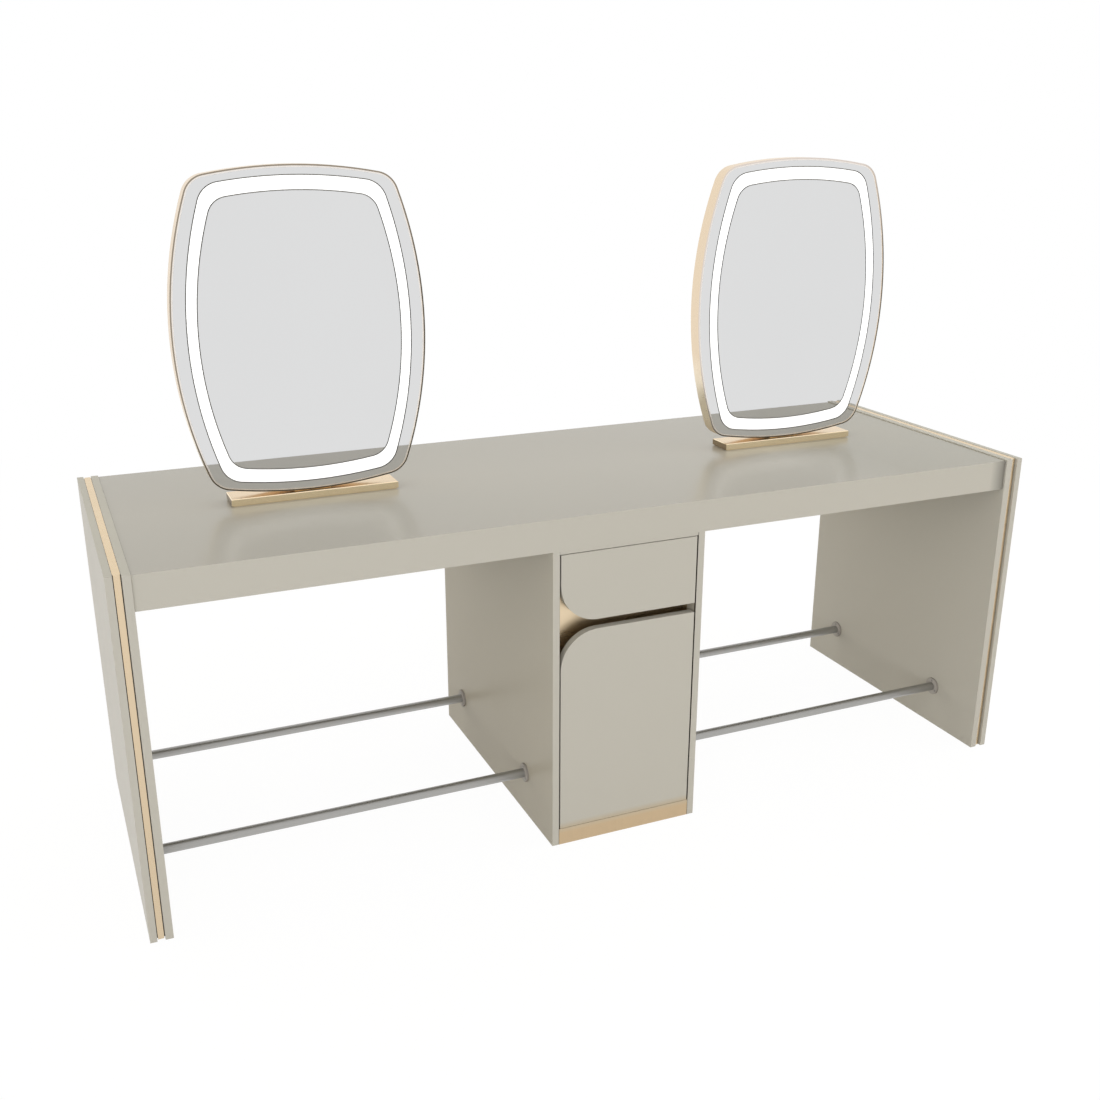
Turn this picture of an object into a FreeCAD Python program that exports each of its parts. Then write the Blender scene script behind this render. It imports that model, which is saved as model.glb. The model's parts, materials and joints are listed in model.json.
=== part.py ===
import FreeCAD, Part
import math
import os

os.makedirs("parts", exist_ok=True)

V = FreeCAD.Vector

# Frame: origin on the floor under the middle of the desk, +X along its length,
# the front side faces -Y, +Z up. All dimensions are in millimetres.

# Overall size of the desk.
DESK_LENGTH = 2126.0
DESK_DEPTH = 727.0
DESK_HEIGHT = 780.0

# End panels: two lacquered slabs with a metal strip between them.
END_OUTER = 14.0
END_STRIP = 16.0
END_INNER = 16.0
STRIP_RECESS = 7.0
STRIP_DROP = 0.4
STRIP_GROOVE = 1.9
STRIP_GROOVE_DEPTH = 6.0
STRIP_TOP_GROOVE = 0.8
STRIP_TOP_DEPTH = 0.8

# Worktop: a board mitred to a front and a rear apron, with cross ribs. It lies a
# little lower than the end panels, and its faces stand a little behind their edges.
TOP_DROP = 2.0
EDGE_HEIGHT = 72.0
EDGE_SETBACK = 4.5
LIP_HEIGHT = 7.5
LIP_STEP = 1.0
TOP_BOARD = 22.0
JOINT_GROOVE = 0.6
JOINT_DEPTH = 1.0
RIB_BOARD = 16.0
RIB_TO_END = 167.0
RIB_TO_SUPPLY = 12.0

# Cabinet in the middle.
CABINET_WIDTH = 364.0
CARCASE_BOARD = 16.0
PLINTH_HEIGHT = 40.0
PLINTH_GROOVE = 0.6
PLINTH_GROOVE_DEPTH = 2.0

# Drawer and door fronts, set flush between the cabinet sides.
FRONT_BOARD = 18.0
SIDE_GAP = 3.0
TOP_GAP = 1.5
FOOT_GAP = 0.8
DRAWER_FRONT_HEIGHT = 156.5
SLOT_HEIGHT = 22.0
CURVE_RADIUS = 88.0
REAR_CLEAR = 2.0

# Finger channel behind the slot.
CHANNEL_WALL = 2.0
CHANNEL_DEPTH = 18.0
CHANNEL_HEIGHT = 146.0
CHANNEL_RADIUS = 9.0
CHANNEL_FLANGE = 15.0
SHELF_TOP = 604.0

# Drawer box.
BOX_SIDE = 12.0
BOX_BOTTOM = 6.0
BOX_REAR_CLEAR = 26.0
BOX_HEIGHT = 72.0
BOX_LIFT = 8.0
RUNNER_SPACE = 13.0

# Drawer runners.
RUNNER_SHEET = 1.2
RUNNER_HEIGHT = 45.0
RUNNER_START = 6.0
RUNNER_END = 4.0
GLIDE = 2.6
GLIDE_CLEAR = 0.3
RUNNER_TIP_CLEAR = 1.8

# Door hinges: a fine butt hinge whose barrel lies in the side gap.
LEAF_SHEET = 1.2
LEAF_WIDTH = 16.0
HINGE_HEIGHT = 60.0
LOWER_HINGE_LEVEL = 120.0
UPPER_HINGE_LEVEL = 440.0
BARREL_RADIUS = 1.2
PIN_RADIUS = 0.6
PIN_CLEAR = 0.05
KNUCKLE_CLEAR = 0.3

# Magnetic door catches.
CATCH_SIZE = (14.0, 16.0, 46.0)
CATCH_LEVEL = 300.0
STRIKE_SIZE = (12.0, 1.2, 34.0)
CATCH_CLEAR = 0.5

# Footrails and their wall rosettes.
RAIL_RADIUS = 11.0
RAIL_WALL = 1.5
RAIL_HEIGHT = 106.8
RAIL_SPREAD = 217.2
ROSETTE_RADIUS = 22.5
ROSETTE_THICK = 5.0
ROSETTE_CHAMFER = 1.2
SCREW_HEAD = 3.2
SCREW_HEAD_DEPTH = 1.6
SCREW_SHANK = 1.75
SCREW_REACH = 12.0
SCREWS_EACH = 3

# Two-sided mirrors. Rails and mirrors share one line a little behind the middle.
FITTINGS_Y = 20.0
LEFT_MIRROR_X = -596.2
RIGHT_MIRROR_X = 620.8
MIRROR_LIFT = 1.0
MIRROR_HALF_WIDTH = 267.3
MIRROR_HALF_HEIGHT = 338.3
MIRROR_SIDE_RADIUS = 858.0
MIRROR_TOP_RADIUS = 978.0
MIRROR_CORNER = 51.6
MIRROR_DEPTH = 36.0
FRAME_WALL = 3.0
FRAME_LIP = 1.0
GASKET = 3.0
GLASS = 5.0
LIGHT_HALF_WIDTH = 234.8
LIGHT_HALF_HEIGHT = 317.0
LIGHT_SIDE_RADIUS = 868.0
LIGHT_TOP_RADIUS = 1000.0
LIGHT_CORNER = 50.0
LIGHT_INNER_RATIO = 0.9135
GLASS_GAP = 2.0
GROOVE_LAND = 4.0
GROOVE_DEPTH = 6.0
TAPE_THICK = 1.5
TAPE_WIDTH = 8.0

# Mirror bases.
BAR_LENGTH = 368.0
BAR_DEPTH = 66.0
BAR_HEIGHT = 17.0
BAR_CHAMFER = 1.5
BAR_SHIFT = 5.2
BAR_SETBACK = 3.0
BAR_REBATE = 3.0
BAR_REBATE_HEIGHT = 2.5
SADDLE_LENGTH = 80.0
SADDLE_DEPTH = 26.0
SADDLE_RISE = 6.0
SADDLE_SINK = 6.0
BOLT_RADIUS = 4.0
BOLT_SPREAD = 25.0
BOLT_REACH = 21.0
BOLT_FLANGE = 8.5
BOLT_FLANGE_THICK = 1.5
BOLT_HEAD = 6.5
BOLT_HEAD_HEIGHT = 7.0

# Power supplies for the lights, under the worktop.
SUPPLY_SIZE = (180.0, 52.0, 24.0)
SUPPLY_CLEAR = 8.0
INLET_SIZE = (10.0, 24.0, 14.0)

# Derived planes.
HALF_LENGTH = DESK_LENGTH / 2
HALF_DEPTH = DESK_DEPTH / 2
END_THICK = END_OUTER + END_STRIP + END_INNER
END_FACE = HALF_LENGTH - END_THICK
FACE = HALF_DEPTH - EDGE_SETBACK
TOP_FACE = DESK_HEIGHT - TOP_DROP
EDGE_BOTTOM = TOP_FACE - EDGE_HEIGHT
LIP_BOTTOM = EDGE_BOTTOM - LIP_HEIGHT
BOARD_BOTTOM = TOP_FACE - TOP_BOARD
CABINET_HALF = CABINET_WIDTH / 2
INSIDE_HALF = CABINET_HALF - CARCASE_BOARD
FRONT_HALF = INSIDE_HALF - SIDE_GAP
FRONT_BACK = FACE - FRONT_BOARD
CARCASE_FACE = FRONT_BACK - REAR_CLEAR
DRAWER_TOP = LIP_BOTTOM - TOP_GAP
DRAWER_FOOT = DRAWER_TOP - DRAWER_FRONT_HEIGHT
DOOR_TOP = DRAWER_FOOT - SLOT_HEIGHT
DOOR_FOOT = PLINTH_HEIGHT + FOOT_GAP
SHELF_FACE = CARCASE_FACE - CHANNEL_WALL
CHANNEL_TOP = SHELF_TOP - CARCASE_BOARD - CHANNEL_WALL
CHANNEL_FOOT = CHANNEL_TOP - CHANNEL_HEIGHT
BOX_HALF = INSIDE_HALF - RUNNER_SPACE
BOX_LENGTH = FRONT_BACK - CARCASE_BOARD / 2 - BOX_REAR_CLEAR
BOX_FOOT = SHELF_TOP + BOX_LIFT
BOX_TOP = BOX_FOOT + BOX_HEIGHT
HINGE_X = INSIDE_HALF - SIDE_GAP / 2
HINGE_LEVELS = (LOWER_HINGE_LEVEL, UPPER_HINGE_LEVEL)
BAR_TOP = TOP_FACE + BAR_HEIGHT
MIRROR_CENTRE_Z = BAR_TOP + MIRROR_LIFT + MIRROR_HALF_HEIGHT
MIRROR_NEAR = FITTINGS_Y - MIRROR_DEPTH / 2
GLASS_NEAR = MIRROR_NEAR + FRAME_LIP
CORE_NEAR = GLASS_NEAR + GLASS


def box(x0, x1, y0, y1, z0, z1):
    return Part.makeBox(x1 - x0, y1 - y0, z1 - z0, V(x0, y0, z0))


def prism_x(points, x0, x1):
    """A straight prism along X whose section is a list of (y, z) points."""
    corners = [V(x0, y, z) for y, z in points]
    face = Part.Face(Part.makePolygon(corners + corners[:1]))
    return face.extrude(V(x1 - x0, 0, 0))


def rod_x(radius, x0, x1, y, z):
    return Part.makeCylinder(radius, x1 - x0, V(x0, y, z), V(1, 0, 0))


def rod_z(radius, z0, z1, x, y):
    return Part.makeCylinder(radius, z1 - z0, V(x, y, z0), V(0, 0, 1))


def to_rear(shape):
    """The same piece on the rear side, half a turn about the vertical axis."""
    copy = shape.copy()
    copy.rotate(V(0, 0, 0), V(0, 0, 1), 180)
    return copy


def to_left(shape):
    """The mirror image on the other end of the desk."""
    return shape.mirror(V(0, 0, 0), V(1, 0, 0))


def cut_all(shape, tools):
    for tool in tools:
        shape = shape.cut(tool)
    return shape


def save(node, *pieces):
    solids = []
    for piece in pieces:
        solids.extend(piece.Solids)
    shape = solids[0]
    if len(solids) > 1:
        shape = Part.makeCompound(solids)
    shape.exportStep("parts/" + node + ".step")


# Footrails and rosettes.

def rail_lines():
    return (FITTINGS_Y - RAIL_SPREAD, FITTINGS_Y + RAIL_SPREAD)


def footrail(y, side):
    x0 = CABINET_HALF
    x1 = END_FACE
    if side < 0:
        x0, x1 = -x1, -x0
    tube = rod_x(RAIL_RADIUS, x0, x1, y, RAIL_HEIGHT)
    bore = rod_x(RAIL_RADIUS - RAIL_WALL, x0, x1, y, RAIL_HEIGHT)
    return tube.cut(bore)


def rail_ends():
    """Every wall a rail meets: the wall's x, the way out of the wall, and the rail's y."""
    ends = []
    for y in rail_lines():
        for side in (-1, 1):
            ends.append((side * CABINET_HALF, side, y))
            ends.append((side * END_FACE, -side, y))
    return ends


def screw_spots(y):
    spots = []
    for i in range(SCREWS_EACH):
        angle = math.radians(90 + 360.0 * i / SCREWS_EACH)
        reach = (ROSETTE_RADIUS + RAIL_RADIUS) / 2
        spots.append((y + reach * math.cos(angle), RAIL_HEIGHT + reach * math.sin(angle)))
    return spots


def along(radius, x, out, near, far, y, z):
    """A rod from near to far, measured outwards from the wall at x."""
    ends = sorted((x + out * near, x + out * far))
    return rod_x(radius, ends[0], ends[1], y, z)


def rosette_screw(x, out, y, z):
    head = along(SCREW_HEAD, x, out, ROSETTE_THICK - SCREW_HEAD_DEPTH, ROSETTE_THICK, y, z)
    shank = along(SCREW_SHANK, x, out, -SCREW_REACH, ROSETTE_THICK - SCREW_HEAD_DEPTH, y, z)
    return head.fuse(shank).removeSplitter()


def rosette(x, out, y):
    base = V(x, y, RAIL_HEIGHT)
    flat = ROSETTE_THICK - ROSETTE_CHAMFER
    way = V(out, 0, 0)
    disc = Part.makeCylinder(ROSETTE_RADIUS, flat, base, way)
    tip = base + way * flat
    rim = Part.makeCone(ROSETTE_RADIUS, ROSETTE_RADIUS - ROSETTE_CHAMFER, ROSETTE_CHAMFER, tip, way)
    plate = disc.fuse(rim)
    plate = plate.cut(along(RAIL_RADIUS, x, out, 0, ROSETTE_THICK, y, RAIL_HEIGHT))
    return cut_all(plate, [rosette_screw(x, out, sy, sz) for sy, sz in screw_spots(y)])


def rosette_screws():
    screws = []
    for x, out, y in rail_ends():
        for sy, sz in screw_spots(y):
            screws.append(rosette_screw(x, out, sy, sz))
    return screws


# Desk boards.

def end_pieces():
    """The three layers of the right-hand end panel, from outside to inside."""
    x3 = HALF_LENGTH
    x2 = x3 - END_OUTER
    x1 = x2 - END_STRIP
    x0 = END_FACE
    outer = box(x2, x3, -HALF_DEPTH, HALF_DEPTH, 0, DESK_HEIGHT)
    inner = box(x0, x1, -HALF_DEPTH, HALF_DEPTH, 0, DESK_HEIGHT)
    return outer, gold_strip_bar(x1, x2), inner


def gold_strip_bar(x0, x1):
    """The strip between the slabs, rebated on both sides of its visible edges."""
    reach = HALF_DEPTH - STRIP_RECESS
    top = DESK_HEIGHT - STRIP_DROP
    low = top - STRIP_TOP_DEPTH
    inside = reach - STRIP_GROOVE_DEPTH
    body = box(x0, x1, -inside, inside, 0, low)
    tongue = box(x0 + STRIP_GROOVE, x1 - STRIP_GROOVE, -reach, reach, 0, top)
    cap = box(x0 + STRIP_TOP_GROOVE, x1 - STRIP_TOP_GROOVE, -inside, inside, low, top)
    return body.fuse(tongue).fuse(cap).removeSplitter()


def end_inner(screws):
    return cut_all(end_pieces()[2], screws)


def joint_grooves():
    """Fine grooves where the worktop and the aprons meet the end panels."""
    grooves = []
    for x0, x1 in ((-END_FACE, JOINT_GROOVE - END_FACE), (END_FACE - JOINT_GROOVE, END_FACE)):
        grooves.append(box(x0, x1, -FACE, FACE, TOP_FACE - JOINT_DEPTH, TOP_FACE))
        grooves.append(box(x0, x1, -FACE, JOINT_DEPTH - FACE, EDGE_BOTTOM, TOP_FACE))
        grooves.append(box(x0, x1, FACE - JOINT_DEPTH, FACE, EDGE_BOTTOM, TOP_FACE))
    return grooves


def worktop_board(bolts):
    inside = FACE - TOP_BOARD
    section = [(-FACE, TOP_FACE), (FACE, TOP_FACE), (inside, BOARD_BOTTOM), (-inside, BOARD_BOTTOM)]
    return cut_all(prism_x(section, -END_FACE, END_FACE), bolts + joint_grooves())


def front_apron():
    """The apron, with a lip set back above the drawer."""
    inside = FACE - TOP_BOARD
    section = [(-FACE, TOP_FACE), (-inside, BOARD_BOTTOM), (-inside, EDGE_BOTTOM), (-FACE, EDGE_BOTTOM)]
    board = cut_all(prism_x(section, -END_FACE, END_FACE), joint_grooves())
    lip = box(-INSIDE_HALF, INSIDE_HALF, LIP_STEP - FACE, -FRONT_BACK, LIP_BOTTOM, EDGE_BOTTOM)
    return board.fuse(lip).removeSplitter()


def worktop_ribs():
    inside = FACE - TOP_BOARD
    over_side = CABINET_HALF - RIB_BOARD / 2
    by_supply = CABINET_HALF + SUPPLY_CLEAR + SUPPLY_SIZE[0] + RIB_TO_SUPPLY + RIB_BOARD / 2
    ribs = []
    for station in (over_side, by_supply, END_FACE - RIB_TO_END):
        for x in (-station, station):
            half = RIB_BOARD / 2
            ribs.append(box(x - half, x + half, -inside, inside, EDGE_BOTTOM, BOARD_BOTTOM))
    return ribs


# Cabinet carcase.

def cabinet_side(side, screws):
    x0, x1 = sorted((side * INSIDE_HALF, side * CABINET_HALF))
    return cut_all(box(x0, x1, -FACE, FACE, 0, EDGE_BOTTOM), screws)


def carcase_panel(z0):
    return box(-INSIDE_HALF, INSIDE_HALF, -CARCASE_FACE, CARCASE_FACE, z0, z0 + CARCASE_BOARD)


def cabinet_partition():
    half = CARCASE_BOARD / 2
    z0 = PLINTH_HEIGHT + CARCASE_BOARD
    return box(-INSIDE_HALF, INSIDE_HALF, -half, half, z0, EDGE_BOTTOM - CARCASE_BOARD)


def drawer_shelf():
    far = -CARCASE_BOARD / 2
    return box(-INSIDE_HALF, INSIDE_HALF, -SHELF_FACE, far, SHELF_TOP - CARCASE_BOARD, SHELF_TOP)


def plinth():
    board = box(-INSIDE_HALF, INSIDE_HALF, -FACE, -FRONT_BACK, 0, PLINTH_HEIGHT)
    step = INSIDE_HALF - PLINTH_GROOVE
    for x0, x1 in ((-INSIDE_HALF, -step), (step, INSIDE_HALF)):
        board = board.cut(box(x0, x1, -FACE, PLINTH_GROOVE_DEPTH - FACE, 0, PLINTH_HEIGHT))
    return board


def channel_hollow(grow):
    """The hollow of the finger channel, grown by the wall for its outside."""
    radius = CHANNEL_RADIUS + grow
    y1 = CHANNEL_DEPTH + grow - CARCASE_FACE
    z0 = CHANNEL_FOOT - grow
    z1 = CHANNEL_TOP + grow
    shape = box(-INSIDE_HALF, INSIDE_HALF, -CARCASE_FACE, y1 - radius, z0, z1)
    shape = shape.fuse(box(-INSIDE_HALF, INSIDE_HALF, y1 - radius, y1, z0 + radius, z1 - radius))
    for z in (z0 + radius, z1 - radius):
        shape = shape.fuse(rod_x(radius, -INSIDE_HALF, INSIDE_HALF, y1 - radius, z))
    return shape.common(box(-INSIDE_HALF, INSIDE_HALF, -CARCASE_FACE, y1, z0, z1))


def finger_channel():
    upper = box(-INSIDE_HALF, INSIDE_HALF, -CARCASE_FACE, -SHELF_FACE, CHANNEL_TOP, SHELF_TOP)
    foot = CHANNEL_FOOT - CHANNEL_FLANGE
    lower = box(-INSIDE_HALF, INSIDE_HALF, -CARCASE_FACE, -SHELF_FACE, foot, CHANNEL_FOOT)
    shape = channel_hollow(CHANNEL_WALL).fuse(upper).fuse(lower)
    return shape.cut(channel_hollow(0)).removeSplitter()


# Drawer.

def curved_front(z0, z1, curve_at_top):
    """A front board with one large rounded corner on its left."""
    slab = box(-FRONT_HALF, FRONT_HALF, -FACE, -FRONT_BACK, z0, z1)
    xc = CURVE_RADIUS - FRONT_HALF
    if curve_at_top:
        zc = z1 - CURVE_RADIUS
        corner = box(-FRONT_HALF, xc, -FACE, -FRONT_BACK, zc, z1)
    else:
        zc = z0 + CURVE_RADIUS
        corner = box(-FRONT_HALF, xc, -FACE, -FRONT_BACK, z0, zc)
    round_part = Part.makeCylinder(CURVE_RADIUS, FRONT_BOARD, V(xc, -FACE, zc), V(0, 1, 0))
    return slab.cut(corner.cut(round_part))


def drawer_sides():
    y0 = -FRONT_BACK
    y1 = y0 + BOX_LENGTH
    right = box(BOX_HALF - BOX_SIDE, BOX_HALF, y0, y1, BOX_FOOT, BOX_TOP)
    return to_left(right), right


def drawer_bottom():
    inside = BOX_HALF - BOX_SIDE
    y0 = -FRONT_BACK
    return box(-inside, inside, y0, y0 + BOX_LENGTH, BOX_FOOT, BOX_FOOT + BOX_BOTTOM)


def drawer_back():
    inside = BOX_HALF - BOX_SIDE
    y1 = BOX_LENGTH - FRONT_BACK
    return box(-inside, inside, y1 - BOX_SIDE, y1, BOX_FOOT + BOX_BOTTOM, BOX_TOP)


def runner_span():
    middle = (BOX_FOOT + BOX_TOP) / 2
    return middle - RUNNER_HEIGHT / 2, middle + RUNNER_HEIGHT / 2


def runner_y():
    y0 = RUNNER_START - FRONT_BACK
    return y0, BOX_LENGTH - FRONT_BACK - RUNNER_END


def runner_channel():
    """The fixed member on the right-hand cabinet side."""
    z0, z1 = runner_span()
    y0, y1 = runner_y()
    tip = BOX_HALF + RUNNER_SHEET + RUNNER_TIP_CLEAR
    block = box(tip, INSIDE_HALF, y0, y1, z0, z1)
    hollow = box(tip, INSIDE_HALF - RUNNER_SHEET, y0, y1, z0 + RUNNER_SHEET, z1 - RUNNER_SHEET)
    return block.cut(hollow)


def runner_glides():
    z0, z1 = runner_span()
    y0, y1 = runner_y()
    tip = BOX_HALF + RUNNER_SHEET + RUNNER_TIP_CLEAR
    back = INSIDE_HALF - RUNNER_SHEET
    low = z0 + RUNNER_SHEET
    high = z1 - RUNNER_SHEET
    return [box(tip, back, y0, y1, low, low + GLIDE), box(tip, back, y0, y1, high - GLIDE, high)]


def runner_slide():
    """The moving member on the right-hand drawer side."""
    z0, z1 = runner_span()
    step = RUNNER_SHEET + GLIDE + GLIDE_CLEAR
    z0 += step
    z1 -= step
    y0, y1 = runner_y()
    tip = INSIDE_HALF - RUNNER_SHEET - RUNNER_TIP_CLEAR
    block = box(BOX_HALF, tip, y0, y1, z0, z1)
    web = BOX_HALF + RUNNER_SHEET
    return block.cut(box(web, tip, y0, y1, z0 + RUNNER_SHEET, z1 - RUNNER_SHEET))


def both_ends(shape):
    return [to_left(shape), shape]


# Door hinges.

def hinge_thirds(level):
    third = HINGE_HEIGHT / 3
    start = level - HINGE_HEIGHT / 2
    return [start + i * third for i in range(4)]


def knuckle(z0, z1, bore):
    barrel = rod_z(BARREL_RADIUS, z0, z1, HINGE_X, -FACE)
    return barrel.cut(rod_z(bore, z0, z1, HINGE_X, -FACE))


def hinge_leaf(level, x0, x1):
    """A flat leaf with the whole barrel zone cleared away from it."""
    z = hinge_thirds(level)
    leaf = box(x0, x1, -FACE, LEAF_WIDTH - FACE, z[0], z[3])
    return leaf.cut(rod_z(PIN_RADIUS + PIN_CLEAR, z[0], z[3], HINGE_X, -FACE))


def fixed_leaf(level):
    z = hinge_thirds(level)
    leaf = hinge_leaf(level, INSIDE_HALF - LEAF_SHEET, INSIDE_HALF)
    notch = KNUCKLE_CLEAR + BARREL_RADIUS
    leaf = leaf.cut(rod_z(notch, z[1], z[2], HINGE_X, -FACE))
    low = knuckle(z[0], z[1] - KNUCKLE_CLEAR, PIN_RADIUS)
    high = knuckle(z[2] + KNUCKLE_CLEAR, z[3], PIN_RADIUS)
    return leaf.fuse(low).fuse(high).removeSplitter()


def moving_leaf(level):
    z = hinge_thirds(level)
    leaf = hinge_leaf(level, FRONT_HALF, FRONT_HALF + LEAF_SHEET)
    notch = KNUCKLE_CLEAR + BARREL_RADIUS
    for low, high in ((z[0], z[1]), (z[2], z[3])):
        leaf = leaf.cut(rod_z(notch, low, high, HINGE_X, -FACE))
    middle = knuckle(z[1], z[2], PIN_RADIUS + PIN_CLEAR)
    return leaf.fuse(middle).removeSplitter()


def hinge_pin(level):
    z = hinge_thirds(level)
    return rod_z(PIN_RADIUS, z[0], z[3], HINGE_X, -FACE)


def door_strike():
    width, thick, height = STRIKE_SIZE
    x0 = -INSIDE_HALF + SIDE_GAP
    z0 = CATCH_LEVEL - height / 2
    return box(x0, x0 + width, -FRONT_BACK, thick - FRONT_BACK, z0, z0 + height)


def door_catch():
    width, depth, height = CATCH_SIZE
    y0 = STRIKE_SIZE[1] + CATCH_CLEAR - FRONT_BACK
    z0 = CATCH_LEVEL - height / 2
    return box(-INSIDE_HALF, width - INSIDE_HALF, y0, y0 + depth, z0, z0 + height)


# Mirrors.

def tangent_corner(a, b, side, top, corner):
    """Centre of the corner arc that touches the side arc and the top arc from inside."""
    xs = a - side
    zt = b - top
    gap = math.hypot(xs, zt)
    r0 = side - corner
    r1 = top - corner
    reach = (r0 * r0 - r1 * r1 + gap * gap) / (2 * gap)
    rise = math.sqrt(r0 * r0 - reach * reach)
    ux = -xs / gap
    uz = zt / gap
    return xs + reach * ux - rise * uz, reach * uz + rise * ux


def toward(x0, z0, x1, z1, length):
    """The point that far from the first one, through the second one."""
    scale = length / math.hypot(x1 - x0, z1 - z0)
    return x0 + (x1 - x0) * scale, z0 + (z1 - z0) * scale


def barrel_wire(outline, xc, y):
    """A barrel outline: four large bowed sides joined by tangent corner arcs."""
    a, b, side, top, corner = outline
    fx, fz = tangent_corner(a, b, side, top, corner)
    px, pz = toward(a - side, 0, fx, fz, side)
    qx, qz = toward(0, b - top, fx, fz, top)
    mx, mz = toward(fx, fz, (px + qx) / 2, (pz + qz) / 2, corner)

    def at(x, z):
        return V(xc + x, y, MIRROR_CENTRE_Z + z)

    arcs = [
        Part.Arc(at(px, -pz), at(a, 0), at(px, pz)),
        Part.Arc(at(px, pz), at(mx, mz), at(qx, qz)),
        Part.Arc(at(qx, qz), at(0, b), at(-qx, qz)),
        Part.Arc(at(-qx, qz), at(-mx, mz), at(-px, pz)),
        Part.Arc(at(-px, pz), at(-a, 0), at(-px, -pz)),
        Part.Arc(at(-px, -pz), at(-mx, -mz), at(-qx, -qz)),
        Part.Arc(at(-qx, -qz), at(0, -b), at(qx, -qz)),
        Part.Arc(at(qx, -qz), at(mx, -mz), at(px, -pz)),
    ]
    return Part.Wire([arc.toShape() for arc in arcs])


def barrel_slab(outline, xc, y0, y1):
    return Part.Face(barrel_wire(outline, xc, y0)).extrude(V(0, y1 - y0, 0))


def barrel_band(outer, inner, xc, y0, y1):
    return barrel_slab(outer, xc, y0, y1).cut(barrel_slab(inner, xc, y0, y1))


def shrunk(outline, by):
    return tuple(value - by for value in outline)


FRAME_LINE = (MIRROR_HALF_WIDTH, MIRROR_HALF_HEIGHT, MIRROR_SIDE_RADIUS, MIRROR_TOP_RADIUS, MIRROR_CORNER)
LIGHT_LINE = (LIGHT_HALF_WIDTH, LIGHT_HALF_HEIGHT, LIGHT_SIDE_RADIUS, LIGHT_TOP_RADIUS, LIGHT_CORNER)
LIGHT_INNER_LINE = tuple(value * LIGHT_INNER_RATIO for value in LIGHT_LINE)


def depth_pair(near, thick):
    """The span of a layer on the front face and of its twin on the rear face."""
    far = 2 * FITTINGS_Y - near
    return ((near, near + thick), (far - thick, far))


def mirror_frame(xc, bolts):
    inner = shrunk(FRAME_LINE, FRAME_WALL)
    band = barrel_band(FRAME_LINE, inner, xc, MIRROR_NEAR, MIRROR_NEAR + MIRROR_DEPTH)
    return cut_all(band, bolts)


def groove_lines():
    return shrunk(LIGHT_LINE, GROOVE_LAND), shrunk(LIGHT_INNER_LINE, -GROOVE_LAND)


def mirror_core(xc, bolts):
    far = 2 * FITTINGS_Y - CORE_NEAR
    core = barrel_slab(shrunk(FRAME_LINE, FRAME_WALL), xc, CORE_NEAR, far)
    outer, inner = groove_lines()
    for y0, y1 in depth_pair(CORE_NEAR, GROOVE_DEPTH):
        core = core.cut(barrel_band(outer, inner, xc, y0, y1))
    return cut_all(core, bolts)


def centre_mirrors(xc):
    line = shrunk(LIGHT_INNER_LINE, GLASS_GAP)
    return [barrel_slab(line, xc, y0, y1) for y0, y1 in depth_pair(GLASS_NEAR, GLASS)]


def border_mirrors(xc):
    outer = shrunk(FRAME_LINE, FRAME_WALL + GASKET)
    inner = shrunk(LIGHT_LINE, -GLASS_GAP)
    return [barrel_band(outer, inner, xc, y0, y1) for y0, y1 in depth_pair(GLASS_NEAR, GLASS)]


def light_rings(xc):
    return [barrel_band(LIGHT_LINE, LIGHT_INNER_LINE, xc, y0, y1) for y0, y1 in depth_pair(GLASS_NEAR, GLASS)]


def light_tapes(xc):
    middle = tuple((p + q) / 2 for p, q in zip(LIGHT_LINE, LIGHT_INNER_LINE))
    outer = shrunk(middle, -TAPE_WIDTH / 2)
    inner = shrunk(middle, TAPE_WIDTH / 2)
    near = CORE_NEAR + GROOVE_DEPTH - TAPE_THICK
    return [barrel_band(outer, inner, xc, y0, y1) for y0, y1 in depth_pair(near, TAPE_THICK)]


def edge_gaskets(xc):
    outer = shrunk(FRAME_LINE, FRAME_WALL)
    inner = shrunk(outer, GASKET)
    return [barrel_band(outer, inner, xc, y0, y1) for y0, y1 in depth_pair(GLASS_NEAR, GLASS)]


def saddle_block(xc):
    """The block that stands in a pocket of the base bar, before the frame's curve is cut."""
    half = SADDLE_LENGTH / 2
    near = FITTINGS_Y - SADDLE_DEPTH / 2
    return box(xc - half, xc + half, near, near + SADDLE_DEPTH, BAR_TOP - SADDLE_SINK, BAR_TOP + SADDLE_RISE)


def base_bar(xc, bolts):
    """A bevelled bar on a slightly smaller foot, under one mirror."""
    x0 = xc + BAR_SHIFT - BAR_LENGTH / 2
    x1 = x0 + BAR_LENGTH
    y0 = FITTINGS_Y + BAR_SETBACK - BAR_DEPTH / 2
    y1 = y0 + BAR_DEPTH
    step = TOP_FACE + BAR_REBATE_HEIGHT
    bar = box(x0, x1, y0, y1, step, BAR_TOP)
    rim = [e for e in bar.Edges if min(v.Z for v in e.Vertexes) > BAR_TOP - BAR_CHAMFER]
    bar = bar.makeChamfer(BAR_CHAMFER, rim)
    cut = BAR_REBATE
    bar = bar.fuse(box(x0 + cut, x1 - cut, y0 + cut, y1 - cut, TOP_FACE, step)).removeSplitter()
    return cut_all(bar.cut(saddle_block(xc)), bolts)


def saddle(xc, bolts):
    near = FITTINGS_Y - SADDLE_DEPTH / 2
    block = saddle_block(xc).cut(barrel_slab(FRAME_LINE, xc, near, near + SADDLE_DEPTH))
    return cut_all(block, bolts)


def hexagon(across_half, z0, z1, x, y):
    corner = across_half / math.cos(math.pi / 6)
    points = []
    for i in range(6):
        angle = math.pi / 3 * i
        points.append(V(x + corner * math.cos(angle), y + corner * math.sin(angle), z0))
    return Part.Face(Part.makePolygon(points + points[:1])).extrude(V(0, 0, z1 - z0))


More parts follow.
